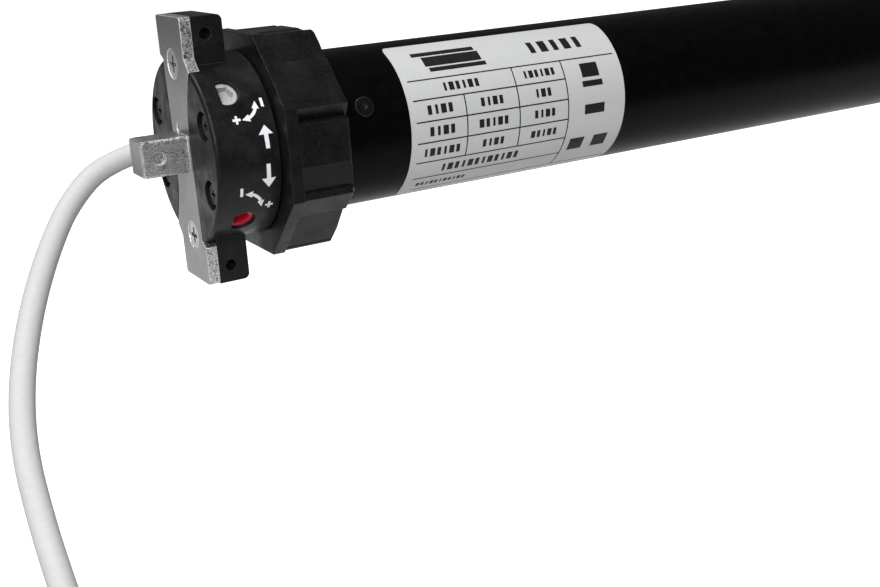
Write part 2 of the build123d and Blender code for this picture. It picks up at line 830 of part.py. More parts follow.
def end_shield(disc_start, rim_start, rim_end):
    """A cast disc that holds a bush, with a rim that meets the stator."""
    body = rod(plug_radius, disc_start, disc_start + shield_thickness)
    body += sleeve(plug_radius, shield_rim_inner, rim_start, rim_end)
    return body - rod(shaft_radius + running_gap, disc_start - overrun,
                      disc_start + shield_thickness + overrun)


def rear_end_shield():
    body = end_shield(rear_shield_start, rear_shield_start + shield_thickness, stack_start)
    body += sleeve(rear_shield_hub, bush_radius, rear_shield_start - rear_shield_hub_length,
                   rear_shield_start)
    body -= rod(bush_radius, rear_shield_start - rear_shield_hub_length - overrun,
                rear_shield_start - rear_shield_hub_length + bush_length)
    return body - lead_notch(rear_shield_start, rear_shield_start + shield_thickness)


def front_end_shield():
    body = end_shield(front_shield_start, stack_end, front_shield_start)
    return body - rod(bush_radius, front_shield_end - bush_length, front_shield_end + overrun)


def motor_bushes():
    rear_start = rear_shield_start - rear_shield_hub_length
    return Compound([sleeve(bush_radius, shaft_radius + bush_play, rear_start, rear_start + bush_length),
                     sleeve(bush_radius, shaft_radius + bush_play, front_shield_end - bush_length,
                            front_shield_end)])


def slots(start, end, margin):
    """The stator's slots, or the bars of wire in them when a margin is taken off."""
    bars = []
    for slot in range(slot_count):
        bar = block(start, end, slot_inner + margin, slot_outer - margin, -slot_half_width + margin,
                    slot_half_width - margin)
        bars.append(Rot(360 / slot_count * (slot + 0.5), 0, 0) * bar)
    return bars


def stator_core():
    body = sleeve(plug_radius, rotor_radius + air_gap, stack_start, stack_end)
    body -= slots(stack_start - overrun, stack_end + overrun, 0)
    mouths = []
    for slot in range(slot_count):
        mouth = block(stack_start - overrun, stack_end + overrun, rotor_radius, slot_inner + overrun,
                      -slot_mouth_half, slot_mouth_half)
        mouths.append(Rot(360 / slot_count * (slot + 0.5), 0, 0) * mouth)
    return body - mouths


def stator_windings():
    inner, outer = slot_inner, winding_reach
    body = None
    for start in (stack_start - winding_overhang, stack_end):
        profile = Plane.XY * Pos(start + winding_overhang / 2, (inner + outer) / 2) * RectangleRounded(
            winding_overhang, outer - inner, winding_round)
        ring = revolve(profile, Axis.X)
        body = ring if body is None else body + ring
    bars = slots(stack_start - winding_round, stack_end + winding_round, slot_liner)
    return body + bars


def rotor_core():
    body = rod(rotor_radius, stack_start, stack_end)
    for start in (stack_start - end_ring_length, stack_end):
        body += sleeve(end_ring_outer, end_ring_inner, start, start + end_ring_length)
    return body - rod(shaft_radius, stack_start - end_ring_length, stack_end + end_ring_length)


gear_module = 0.65
sun_teeth = 12
planet_teeth = 21
ring_teeth = 54
planet_count = 3
planet_circle = (sun_teeth + planet_teeth) * gear_module / 2


def rotor_shaft():
    body = rod(shaft_radius, rear_shield_start - rear_shield_hub_length - shaft_tail,
               stages[0][0] - stage_gap)
    sun_end = stages[0][2]
    body += rod(sun_root, stages[0][0] - stage_gap - overrun, stages[0][1])
    return body + pinion_gear(sun_teeth, gear_module, stages[0][1], sun_end)


sun_root = sun_teeth * gear_module / 2 - dedendum_share * gear_module
nodes["rear_end_shield"] = rear_end_shield()
nodes["front_end_shield"] = front_end_shield()
nodes["motor_bushes"] = motor_bushes()
nodes["stator_core"] = stator_core()
nodes["stator_windings"] = stator_windings()
nodes["rotor_core"] = rotor_core()
nodes["rotor_shaft"] = rotor_shaft()

# Brake: the spring presses the armature on the disc; the stator's end flux pulls it off.
spring_inner = 5.2
spring_outer = 9.0
spring_discs = 6
spring_blade = 0.6
spring_rise = 1.3
armature_thickness = 4.0
armature_radius = 17.0
armature_bore = 4.6
armature_stroke = 0.6
disc_gap = 0.15
brake_disc_thickness = 4.0
brake_disc_radius = 16.0
brake_hub_radius = 7.0
brake_hub_length = 3.5
housing_inner = 18.6
key_half = 2.0
key_depth = 1.6
key_play = 0.25
housing_web = 3.0
housing_web_bore = 6.0

spring_length = spring_discs * (spring_rise + spring_blade) + running_gap
armature_start = front_shield_end + spring_length
disc_start = armature_start + armature_thickness + disc_gap


def brake_spring():
    """A stack of coned spring washers round the shaft, alternately turned."""
    body = None
    for washer in range(spring_discs):
        low = front_shield_end + washer * (spring_rise + spring_blade)
        near, far = (spring_inner, spring_outer) if washer % 2 else (spring_outer, spring_inner)
        points = [(low, near), (low + spring_blade, near), (low + spring_blade + spring_rise, far),
                  (low + spring_rise, far)]
        ring = revolve(Plane.XY * make_face(Polyline(*points, close=True)), Axis.X)
        body = ring if body is None else body + ring
    return body


def brake_armature():
    body = sleeve(armature_radius, armature_bore, armature_start, armature_start + armature_thickness)
    for side in (1, -1):
        low, high = sorted((side * (armature_radius - key_depth), side * (plug_radius + overrun)))
        body -= block(armature_start - overrun, armature_start + armature_thickness + overrun,
                      -key_half - key_play, key_half + key_play, low, high)
    return body


def brake_disc():
    body = rod(brake_disc_radius, disc_start, disc_start + brake_disc_thickness)
    body += rod(brake_hub_radius, disc_start, disc_start + brake_disc_thickness + brake_hub_length)
    return body - rod(shaft_radius, disc_start - overrun, disc_start + brake_length)


def brake_housing():
    body = sleeve(plug_radius, housing_inner, front_shield_end, brake_end)
    body += sleeve(plug_radius, housing_web_bore, brake_end - housing_web, brake_end)
    for side in (1, -1):
        low, high = sorted((side * (armature_radius - key_depth + key_play),
                            side * (housing_inner + overrun)))
        body += block(front_shield_end, disc_start - running_gap, -key_half, key_half, low, high)
    return body


nodes["brake_spring"] = brake_spring()
nodes["brake_armature"] = brake_armature()
nodes["brake_disc"] = brake_disc()
nodes["brake_housing"] = brake_housing()

# Planetary gearbox: three stages of three planets in one long ring gear
carrier_radius = 16.3
carrier_bore = 5.4
planet_pin_radius = 2.0
planet_bore_play = 0.06
post_circle = 13.0
carrier_post_radius = 2.7


def ring_gear():
    body = rod(plug_radius, ring_start, ring_end)
    return body - ring_gap(ring_teeth, gear_module, ring_start - overrun, ring_end + overrun)


def planet(stage, index):
    start, end = stages[stage][1], stages[stage][2]
    y, z = around(planet_circle, index * 360 / planet_count)
    body = pinion_gear(planet_teeth, gear_module, start, end, y, z)
    return body - rod(planet_pin_radius + planet_bore_play, start - overrun, end + overrun, y, z)


def carrier(stage):
    """Two plates joined by posts, with a pin for each planet; its rear plate carries what it drives."""
    start, planet_start, planet_end, plate_start, plate_end = stages[stage]
    body = sleeve(carrier_radius, carrier_bore, start, start + carrier_plate)
    body += rod(carrier_radius, plate_start, plate_end)
    for index in range(planet_count):
        angle = index * 360 / planet_count
        body += rod(planet_pin_radius, start, plate_end, *around(planet_circle, angle))
        body += rod(carrier_post_radius, start, plate_end, *around(post_circle, angle + 180 / planet_count))
    if stage + 1 < len(stages):
        next_stage = stages[stage + 1]
        body += rod(sun_root, plate_end, next_stage[1])
        body += pinion_gear(sun_teeth, gear_module, next_stage[1], next_stage[2])
    return body


# Output end: the flange closes the tube and carries the output shaft in a bush
output_radius = 8.0
output_bush_radius = 11.0
output_bush_length = 32.0
output_bush_play = 0.05
shaft_drive_radius = 6.5
shaft_drive_flat = 5.0
clip_thickness = 1.2
clip_groove_depth = 1.0
clip_outer = 9.0
clip_gap_half = 3.0
clip_setback = 1.4
flange_hollow = 17.5
flange_floor = 10.0


def output_carrier():
    body = carrier(len(stages) - 1)
    body += rod(output_radius, stages[-1][4], tube_end + collar_thickness + wheel_gap / 2)
    tip = rod(shaft_drive_radius, tube_end + collar_thickness, shaft_end)
    tip &= block(tube_end, shaft_end + overrun, -shaft_drive_flat, shaft_drive_flat, -output_radius,
                 output_radius)
    body += tip
    groove = shaft_end - clip_setback - clip_thickness
    return body - sleeve(output_radius, shaft_drive_radius - clip_groove_depth, groove,
                         groove + clip_thickness)


def gearbox_flange():
    body = rod(plug_radius, ring_end, flange_end)
    body += rod(tube_radius, tube_end, tube_end + collar_thickness)
    body -= rod(output_bush_radius, flange_end + collar_thickness - output_bush_length,
                flange_end + collar_thickness + overrun)
    body -= rod(output_radius + running_gap, ring_end - overrun, flange_end)
    hollow = sleeve(flange_hollow, output_bush_radius + tube_wall, ring_end + rear_screw_place + flange_floor,
                    flange_end + collar_thickness + overrun)
    body -= hollow
    for angle in tube_screw_angles:
        body -= spoke(tube_screw_radius, tube_screw_depth, plug_radius + overrun,
                      ring_end + rear_screw_place, angle)
    return body


def output_bush():
    return sleeve(output_bush_radius, output_radius + output_bush_play,
                  flange_end + collar_thickness - output_bush_length, flange_end + collar_thickness)


wheel_rim = 3.6
wheel_hub_radius = 11.5
wheel_rib_half = 1.5
wheel_web = 4.0
wheel_chamfer = 0.8
wheel_bore_play = 0.05


def drive_wheel():
    body = octagon(apothem, wheel_start, wheel_end)
    body = chamfer(body.faces().sort_by(Axis.X)[-1].edges() + body.faces().sort_by(Axis.X)[0].edges(),
                   wheel_chamfer)
    pocket = octagon(apothem - wheel_rim, wheel_start + wheel_web, wheel_end + overrun)
    pocket -= rod(wheel_hub_radius, wheel_start, wheel_end + overrun)
    for rib in range(4):
        pocket -= Rot(45 * rib + 22.5, 0, 0) * block(wheel_start, wheel_end + overrun, -across_flats,
                                                     across_flats,
                                                     -wheel_rib_half, wheel_rib_half)
    body -= pocket
    flat = shaft_drive_flat + wheel_bore_play
    bore = rod(shaft_drive_radius + wheel_bore_play, wheel_start - overrun, wheel_end + overrun)
    bore &= block(wheel_start - overrun, wheel_end + overrun, -flat, flat, -output_radius, output_radius)
    return body - bore


def wheel_clip():
    start = shaft_end - clip_setback - clip_thickness
    body = sleeve(clip_outer, shaft_drive_radius - clip_groove_depth, start, start + clip_thickness)
    return body - block(start - overrun, start + clip_thickness + overrun, 0, clip_outer + overrun,
                        -clip_gap_half, clip_gap_half)


nodes["ring_gear"] = ring_gear()
for stage in range(len(stages)):
    for index in range(planet_count):
        nodes[f"planet_{stage + 1}_{index + 1}"] = planet(stage, index)
for stage in range(len(stages) - 1):
    nodes[f"carrier_{stage + 1}"] = carrier(stage)
nodes["output_carrier"] = output_carrier()
nodes["gearbox_flange"] = gearbox_flange()
nodes["output_bush"] = output_bush()
nodes["drive_wheel"] = drive_wheel()
nodes["wheel_clip"] = wheel_clip()

# Supply cable: out of the outlet along -X, down in one long bow to the bench, and on to its coil
tie_thickness = 0.8
tie_play = 0.15
tie_width = 4.0
tie_corner = 1.5
tie_buckle = 4.5
coil_step = 3.4
coil_layer_rise = 6.8
coil_radius = 49.5
coil_half_turns = 7
coil_upper_half_turns = 6

bench = -bench_drop
coil_z = bench + tie_thickness + tie_play + cable_radius
cable_route = [
    (cable_exit, cable_y, cable_z),
    (-13.6, 28.2, -4.5),
    (-27.4, 21.2, -13.4),
    (-38.1, 7.7, -23.1),
    (-47.8, -8.5, -33.2),
    (-55.4, -23.0, -45.4),
    (-59.9, -37.5, -57.1),
    (-61.1, -52.4, -69.3),
    (-61.8, -68.5, -78.2),
    (-62.6, -84.5, coil_z),
    (-63.6, -99.0, coil_z),
]


def bend_radii(points):
    """The radius at each corner of the route, from the shorter of its two runs and its turn."""
    radii = []
    for before, here, after in zip(points, points[1:], points[2:]):
        run_in = Vector(here) - Vector(before)
        run_out = Vector(after) - Vector(here)
        turn = math.radians(run_in.get_angle(run_out))
        radii.append(0.45 * min(run_in.length, run_out.length) / math.tan(turn / 2))
    return radii


def tube_along(path, radius):
    return sweep(Plane(origin=path @ 0, z_dir=path % 0) * Circle(radius), path=path)


def biarc(start, start_way, end, end_way):
    """Two arcs, tangent to each other and to both ways, from start to end."""
    across, ways = end - start, start_way + end_way
    bend = 2 * (1 - start_way.dot(end_way))
    reach = (-across.dot(ways) + math.sqrt(across.dot(ways) ** 2 + bend * across.dot(across))) / bend
    first, second = start + start_way * reach, end - end_way * reach
    middle = (first + second) * 0.5
    return [TangentArc(start, middle, tangent=start_way), TangentArc(middle, end, tangent=second - first)]


def half_turn(centre, radius, side, height, leftward):
    """A flat half turn about a centre on the coil's own X axis; side is the sign of Y that it passes."""
    way = -1 if leftward else 1
    return ThreePointArc((centre - way * radius, 0, height), (centre, side * radius, height),
                         (centre + way * radius, 0, height))


def coil_edges():
    """One unbroken line: spirals in on the lower layer, climbs in half a turn and spirals out again."""
    edges = [Line((coil_radius, cable_diameter, 0), (coil_radius, 0, 0))]
    for turn in range(coil_half_turns):
        odd = turn % 2
        edges.append(half_turn(-odd * coil_step, coil_radius - turn * coil_step, 1 if odd else -1, 0,
                               not odd))
    radius = coil_radius - coil_half_turns * coil_step
    centre = -coil_step
    start, end = Vector(centre - radius, 0, 0), Vector(centre + radius, 0, coil_layer_rise)
    top = Vector(centre, radius, coil_layer_rise / 2)
    slope = Vector(1, 0, coil_layer_rise / 2 / radius).normalized()
    edges += biarc(start, Vector(0, 1, 0), top, slope) + biarc(top, slope, end, Vector(0, -1, 0))
    for turn in range(coil_upper_half_turns):
        odd = turn % 2
        centre = -coil_step if odd else -2 * coil_step
        radius = coil_radius - (coil_half_turns - 1 - turn) * coil_step
        edges.append(half_turn(centre, radius, 1 if odd else -1, coil_layer_rise, not odd))
    last = edges[-1] @ 1
    edges.append(Line(last, last - Vector(0, cable_diameter, 0)))
    return edges


def coil_place():
    """Moves the coil's own frame to where the route ends, in line with its last run."""
    last_run = Vector(cable_route[-1]) - Vector(cable_route[-2])
    heading = math.degrees(math.atan2(last_run.Y, last_run.X)) + 90
    return Pos(*cable_route[-1]) * Rot(0, 0, heading) * Pos(-coil_radius, -cable_diameter, 0)


def least_self_gap(edges):
    """The least space between two stretches of the coil that are not neighbours along it."""
    step = cable_radius
    points, along = [], 0.0
    for edge in edges:
        pieces = max(2, round(edge.length / step))
        for piece in range(pieces):
            points.append((along + edge.length * piece / pieces, edge @ (piece / pieces)))
        along += edge.length
    least = math.inf
    for first, (here, point) in enumerate(points):
        for there, other in points[first + 1:]:
            if there - here > math.pi * cable_diameter:
                least = min(least, (point - other).length)
    return least - cable_diameter


def cable_tie():
    """A strap round the coil's turns where they cross its own -X axis, with its buckle on top."""
    turns = (coil_half_turns + 1) // 2
    outer_edge = coil_radius + cable_radius + tie_play
    inner_edge = coil_radius - (turns - 1) * 2 * coil_step - cable_radius - tie_play
    low, high = -cable_radius - tie_play, coil_layer_rise + cable_radius + tie_play
    middle = Pos(-(outer_edge + inner_edge) / 2, (low + high) / 2)
    hole = RectangleRounded(outer_edge - inner_edge, high - low, tie_corner)
    strap = RectangleRounded(outer_edge - inner_edge + 2 * tie_thickness, high - low + 2 * tie_thickness,
                             tie_corner + tie_thickness)
    loop = extrude(Plane.XZ * middle * (strap - hole), amount=tie_width / 2, both=True)
    buckle = Pos(-outer_edge + tie_buckle, 0, high + tie_buckle / 2) * Box(tie_buckle,
                                                                           tie_width + tie_thickness,
                                                                          tie_buckle)
    return loop + buckle


core_radius = 1.0
core_offset = 1.06
core_arc_degrees = 34
core_arc_radius = coil_radius - 2 * coil_step
ferrule_radius = 0.7
ferrule_length = 8.0
ferrule_collar_radius = 0.95
ferrule_collar_length = 2.0


def core_paths():
    """Each stripped core bends on along the coil's turn from the end of the sheath."""
    end = coil_edges()[-1] @ 1
    paths = []
    for lift in (1, -1):
        for inward in (1, -1):
            radius = core_arc_radius - inward * core_offset
            start = end + Vector(-inward * core_offset, 0, lift * core_offset)
            paths.append(JernArc(start, (0, -1, 0), radius, -core_arc_degrees))
    return paths


def cable_cores():
    return Compound([tube_along(path, core_radius) for path in core_paths()])


def core_ferrules():
    ferrules = []
    for path in core_paths():
        tip = Plane(origin=path @ 1, z_dir=path % 1)
        ferrule = extrude(tip * Circle(ferrule_radius), amount=ferrule_length)
        ferrules.append(ferrule + extrude(tip * Circle(ferrule_collar_radius), amount=ferrule_collar_length))
    return Compound(ferrules)


radii = bend_radii(cable_route)
route_path = FilletPolyline(*cable_route, radius=radii)
nodes["supply_cable"] = tube_along(route_path, cable_radius)
nodes["cable_tail"] = cable_tail()
coil_line = coil_edges()
place = coil_place()
nodes["cable_coil"] = place * tube_along(Wire(coil_line), cable_radius)
nodes["cable_tie"] = place * cable_tie()
nodes["cable_cores"] = place * cable_cores()
nodes["core_ferrules"] = place * core_ferrules()

section = math.pi * cable_radius ** 2
coil_length = sum(edge.length for edge in coil_line)
print("bend radii", [round(radius, 1) for radius in radii])
print("free cable", round(route_path.length, 1), "volume share",
      round(nodes["supply_cable"].volume / (section * route_path.length), 5))
print("coil", round(coil_length, 1), "volume share",
      round(nodes["cable_coil"].volume / (section * coil_length), 5))
print("coil's least gap to itself", round(least_self_gap(coil_line), 3))
print("motor length over all", round(shaft_end + pin_length, 1))

os.makedirs("parts", exist_ok=True)
for name, shape in nodes.items():
    export_step(shape, f"parts/{name}.step")
print(len(nodes), "nodes")
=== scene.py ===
import math
import bmesh
import bpy
from mathutils import Matrix, Vector


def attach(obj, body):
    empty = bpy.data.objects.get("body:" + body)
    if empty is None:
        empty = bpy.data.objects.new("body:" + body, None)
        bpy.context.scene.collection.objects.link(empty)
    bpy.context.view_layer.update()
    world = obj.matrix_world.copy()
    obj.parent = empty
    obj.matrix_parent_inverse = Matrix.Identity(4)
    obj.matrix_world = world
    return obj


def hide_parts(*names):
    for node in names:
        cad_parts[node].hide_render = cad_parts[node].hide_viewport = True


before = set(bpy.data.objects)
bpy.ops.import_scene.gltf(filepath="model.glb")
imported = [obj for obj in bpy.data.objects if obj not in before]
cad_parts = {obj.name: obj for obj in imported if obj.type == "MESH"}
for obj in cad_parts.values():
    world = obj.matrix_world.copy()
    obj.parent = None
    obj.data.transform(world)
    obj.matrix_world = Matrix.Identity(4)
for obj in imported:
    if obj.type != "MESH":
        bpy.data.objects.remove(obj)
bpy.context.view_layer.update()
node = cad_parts
scene = bpy.context.scene
scene.view_settings.view_transform = "Standard"
mm = 0.001

# Camera. It stands a little above the motor's head, off the pin's side, and looks down along the tube.
# The three directions and the place were solved from the tube, the octagon and the bar in the picture.
camera_right = Vector((0.854784, -0.516021, -0.055387))
camera_down = Vector((-0.206312, -0.239935, -0.948613))
camera_ahead = Vector((0.476215, 0.822286, -0.311553))
camera_data = bpy.data.cameras.new("camera")
camera_data.lens = 48.99
camera_data.sensor_width = 36
camera_data.clip_start = 0.01
camera = bpy.data.objects.new("camera", camera_data)
turn = Matrix((camera_right, -camera_down, -camera_ahead)).transposed().to_4x4()
camera.matrix_world = Matrix.Translation(Vector((-102.887, -311.778, 60.71)) * mm) @ turn
scene.collection.objects.link(camera)
scene.camera = camera

# Supply lead. A round white PVC-sheathed mains lead, four cores, clamped in the gland behind the drum.
# It bows down to the bench in one long curve; the rest of it is put away in a neat two-layer coil.
lead_diameter = 6.3 * mm
lead_exit = Vector((4.0, 28.7, -2.5)) * mm
lead_route = [(-13.6, 28.2, -4.5), (-27.4, 21.2, -13.4), (-38.1, 7.7, -23.1), (-47.8, -8.5, -33.2),
              (-55.4, -23.0, -45.4), (-59.9, -37.5, -57.1), (-61.1, -52.4, -69.3), (-61.8, -68.5, -78.2),
              (-62.6, -84.5, -81.9), (-63.6, -99.0, -81.9)]
coil_step = 3.4
coil_radius = 49.5
coil_rise = 6.8
turn_points = 24
coil_points = []


def wind(centre, radius, side, height_from, height_to):
    """Half a turn of the coil. Its points stand out, so that the line itself has the radius."""
    reach = radius / math.cos(math.pi / turn_points)
    for step in range(turn_points // 2):
        share = (step + 0.5) / (turn_points // 2)
        angle = math.pi * (1 - share) * side if side > 0 else -math.pi * share
        ease = share * share * (3 - 2 * share)
        height = height_from + (height_to - height_from) * ease
        coil_points.append((centre + reach * math.cos(angle), reach * math.sin(angle), height))


for half in range(7):
    wind(-coil_step * (half % 2), coil_radius - half * coil_step, 1 if half % 2 else -1, 0, 0)
wind(-coil_step, coil_radius - 7 * coil_step, 1, 0, coil_rise)
for half in range(6):
    centre = -coil_step if half % 2 else -2 * coil_step
    wind(centre, coil_radius - (6 - half) * coil_step, 1 if half % 2 else -1, coil_rise, coil_rise)
last_turn = coil_radius - 2 * coil_step
coil_points += [(last_turn, 0, coil_rise), (last_turn, -6.3, coil_rise)]
last_run = Vector(lead_route[-1]) - Vector(lead_route[-2])
heading = math.atan2(last_run.y, last_run.x) + math.pi / 2
coil_place = (Matrix.Translation(Vector(lead_route[-1])) @ Matrix.Rotation(heading, 4, "Z")
              @ Matrix.Translation((-coil_radius, -6.3, 0)))
lead_points = [Vector(point) * mm for point in lead_route]
lead_points += [coil_place @ Vector(point) * mm for point in coil_points]
lead_curve = bpy.data.curves.new("supply_lead", "CURVE")
lead_curve.dimensions = "3D"
lead_curve.bevel_depth = lead_diameter / 2
lead_curve.bevel_resolution = 6
lead_curve.resolution_u = 6
lead_curve.use_fill_caps = True
lead_line = lead_curve.splines.new("NURBS")
lead_line.points.add(len(lead_points))
for point, place in zip(lead_line.points, [lead_exit] + lead_points):
    point.co = (*place, 1)
lead_line.order_u = 3
lead_line.use_endpoint_u = True
supply_lead = bpy.data.objects.new("supply_lead", lead_curve)
scene.collection.objects.link(supply_lead)


def skin(name, dark, light, grain, rough, relief, metallic=0.0, edge=0.25, shine=0.5):
    """A finish with its own grain: colour between two tones, roughness between two values, relief in mm."""
    material = bpy.data.materials.new(name)
    material.use_nodes = True
    tree = material.node_tree
    shader = tree.nodes["Principled BSDF"]
    shader.inputs["Metallic"].default_value = metallic
    shader.inputs["Specular IOR Level"].default_value = shine
    place = tree.nodes.new("ShaderNodeTexCoord").outputs["Object"]
    tone = tree.nodes.new("ShaderNodeTexNoise")
    tone.inputs["Scale"].default_value = grain
    tone.inputs["Detail"].default_value = 6
    tree.links.new(place, tone.inputs["Vector"])
    spread = tree.nodes.new("ShaderNodeMapRange")
    spread.inputs["From Min"].default_value = 0.32
    spread.inputs["From Max"].default_value = 0.68
    tree.links.new(tone.outputs["Fac"], spread.inputs["Value"])
    blend = tree.nodes.new("ShaderNodeMix")
    blend.data_type = "RGBA"
    blend.name = "tones"
    blend.inputs["A"].default_value = (*dark, 1)
    blend.inputs["B"].default_value = (*light, 1)
    tree.links.new(spread.outputs["Result"], blend.inputs["Factor"])
    tree.links.new(blend.outputs["Result"], shader.inputs["Base Color"])
    patch = tree.nodes.new("ShaderNodeTexNoise")
    patch.inputs["Scale"].default_value = grain * 0.13
    patch.inputs["Detail"].default_value = 4
    tree.links.new(place, patch.inputs["Vector"])
    gloss = tree.nodes.new("ShaderNodeMapRange")
    gloss.name = "gloss"
    gloss.inputs["From Min"].default_value = 0.3
    gloss.inputs["From Max"].default_value = 0.7
    gloss.inputs["To Min"].default_value = rough[0]
    gloss.inputs["To Max"].default_value = rough[1]
    tree.links.new(patch.outputs["Fac"], gloss.inputs["Value"])
    tree.links.new(gloss.outputs["Result"], shader.inputs["Roughness"])
    bump = tree.nodes.new("ShaderNodeBump")
    bump.name = "relief"
    bump.inputs["Distance"].default_value = relief * mm
    tree.links.new(tone.outputs["Fac"], bump.inputs["Height"])
    if edge:
        bevel = tree.nodes.new("ShaderNodeBevel")
        bevel.samples = 4
        bevel.inputs["Radius"].default_value = edge * mm
        tree.links.new(bevel.outputs["Normal"], bump.inputs["Normal"])
    tree.links.new(bump.outputs["Normal"], shader.inputs["Normal"])
    return material


def paint_edge_highlight(material, width, tone, amount, metallic=0.0):
    """Paints a finish a paler, less metallic tone along its edges, where the rounded normal leaves the flat
    one: a painted highlight.
    """
    tree = material.node_tree
    shader = tree.nodes["Principled BSDF"]
    rounded = tree.nodes.new("ShaderNodeBevel")
    rounded.samples = 6
    rounded.inputs["Radius"].default_value = width * mm
    flat = tree.nodes.new("ShaderNodeNewGeometry")
    match = tree.nodes.new("ShaderNodeVectorMath")
    match.operation = "DOT_PRODUCT"
    tree.links.new(rounded.outputs["Normal"], match.inputs[0])
    tree.links.new(flat.outputs["True Normal"], match.inputs[1])
    edge_highlight = tree.nodes.new("ShaderNodeMapRange")
    edge_highlight.inputs["From Min"].default_value = 0.99
    edge_highlight.inputs["From Max"].default_value = 0.93
    edge_highlight.inputs["To Max"].default_value = amount
    tree.links.new(match.outputs["Value"], edge_highlight.inputs["Value"])
    blend = tree.nodes.new("ShaderNodeMix")
    blend.data_type = "RGBA"
    blend.inputs["B"].default_value = (*tone, 1)
    tree.links.new(edge_highlight.outputs["Result"], blend.inputs["Factor"])
    tree.links.new(shader.inputs["Base Color"].links[0].from_socket, blend.inputs["A"])
    tree.links.new(blend.outputs["Result"], shader.inputs["Base Color"])
    sheen = tree.nodes.new("ShaderNodeMapRange")
    sheen.inputs["To Min"].default_value = shader.inputs["Metallic"].default_value
    sheen.inputs["To Max"].default_value = metallic
    tree.links.new(edge_highlight.outputs["Result"], sheen.inputs["Value"])
    tree.links.new(sheen.outputs["Result"], shader.inputs["Metallic"])


def paint(material, *names):
    for name in names:
        for slot in node[name].material_slots:
            slot.material = material


sheath = skin("white_pvc", (0.50, 0.50, 0.495), (0.53, 0.53, 0.525), 700, (0.5, 0.62), 0.01, edge=0,
              shine=0.15)
lead_curve.materials.append(sheath)
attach(supply_lead, "motor")
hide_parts("supply_cable", "cable_coil")
paint(sheath, "cable_tail")
paint(skin("nylon_strap", (0.015, 0.015, 0.016), (0.03, 0.03, 0.032), 900, (0.35, 0.5), 0.02), "cable_tie")
paint(skin("core_insulation", (0.05, 0.035, 0.03), (0.09, 0.06, 0.045), 800, (0.35, 0.45), 0.01),
      "cable_cores",
      "lead_wires")
paint(skin("tinned_copper", (0.55, 0.54, 0.52), (0.68, 0.67, 0.65), 1500, (0.25, 0.4), 0.01, 1.0),
      "core_ferrules")
paint(skin("gland_rubber", (0.012, 0.012, 0.012), (0.025, 0.025, 0.025), 900, (0.6, 0.75), 0.03),
      "cable_gland")

# Mounting bar and pin. One zinc die casting: a thin bar with S-shaped sides and a square pin on its outer face.
# Its face is as cast, satin grey; the trimmed sides of the bar and the pin are bright and pitted.
zinc = skin("die_cast_zinc", (0.245, 0.245, 0.245), (0.285, 0.285, 0.285), 700, (0.32, 0.42), 0.01, 0.9,
            0.35)


def pit(material, grain, depth, dark, light, rough):
    """Makes the sides of a casting bright and pitted, and leaves what faces along the motor."""
    tree = material.node_tree
    shader = tree.nodes["Principled BSDF"]
    place = tree.nodes["Texture Coordinate"]
    parts = tree.nodes.new("ShaderNodeSeparateXYZ")
    tree.links.new(place.outputs["Normal"], parts.inputs["Vector"])
    size = tree.nodes.new("ShaderNodeMath")
    size.operation = "ABSOLUTE"
    tree.links.new(parts.outputs["X"], size.inputs[0])
    side = tree.nodes.new("ShaderNodeMapRange")
    side.inputs["From Min"].default_value = 0.85
    side.inputs["From Max"].default_value = 0.6
    tree.links.new(size.outputs["Value"], side.inputs["Value"])
    holes = tree.nodes.new("ShaderNodeTexNoise")
    holes.inputs["Scale"].default_value = grain
    holes.inputs["Detail"].default_value = 3
    tree.links.new(place.outputs["Object"], holes.inputs["Vector"])
    cluster = tree.nodes.new("ShaderNodeTexNoise")
    cluster.inputs["Scale"].default_value = grain * 0.16
    cluster.inputs["Detail"].default_value = 2
    tree.links.new(place.outputs["Object"], cluster.inputs["Vector"])
    joined = tree.nodes.new("ShaderNodeMath")
    joined.operation = "MULTIPLY_ADD"
    joined.inputs[1].default_value = 0.3
    tree.links.new(cluster.outputs["Fac"], joined.inputs[0])
    tree.links.new(holes.outputs["Fac"], joined.inputs[2])
    edge = tree.nodes.new("ShaderNodeMapRange")
    edge.inputs["From Min"].default_value = 0.55
    edge.inputs["From Max"].default_value = 0.72
    tree.links.new(joined.outputs["Value"], edge.inputs["Value"])
    spots = tree.nodes.new("ShaderNodeMix")
    spots.data_type = "RGBA"
    spots.inputs["A"].default_value = (*dark, 1)
    spots.inputs["B"].default_value = (*light, 1)
    tree.links.new(edge.outputs["Result"], spots.inputs["Factor"])
    tone = tree.nodes.new("ShaderNodeMix")
    tone.data_type = "RGBA"
    tree.links.new(side.outputs["Result"], tone.inputs["Factor"])
    tree.links.new(tree.nodes["tones"].outputs["Result"], tone.inputs["A"])
    tree.links.new(spots.outputs["Result"], tone.inputs["B"])
    tree.links.new(tone.outputs["Result"], shader.inputs["Base Color"])
    gloss = tree.nodes.new("ShaderNodeMix")
    gloss.inputs["B"].default_value = rough
    tree.links.new(side.outputs["Result"], gloss.inputs["Factor"])
    tree.links.new(tree.nodes["gloss"].outputs["Result"], gloss.inputs["A"])
    tree.links.new(gloss.outputs["Result"], shader.inputs["Roughness"])
    height = tree.nodes.new("ShaderNodeMath")
    height.operation = "MULTIPLY"
    tree.links.new(side.outputs["Result"], height.inputs[0])
    tree.links.new(edge.outputs["Result"], height.inputs[1])
    dents = tree.nodes.new("ShaderNodeBump")
    dents.inputs["Distance"].default_value = depth * mm
    tree.links.new(height.outputs["Value"], dents.inputs["Height"])
    tree.links.new(tree.nodes["relief"].outputs["Normal"], dents.inputs["Normal"])
    tree.links.new(dents.outputs["Normal"], shader.inputs["Normal"])


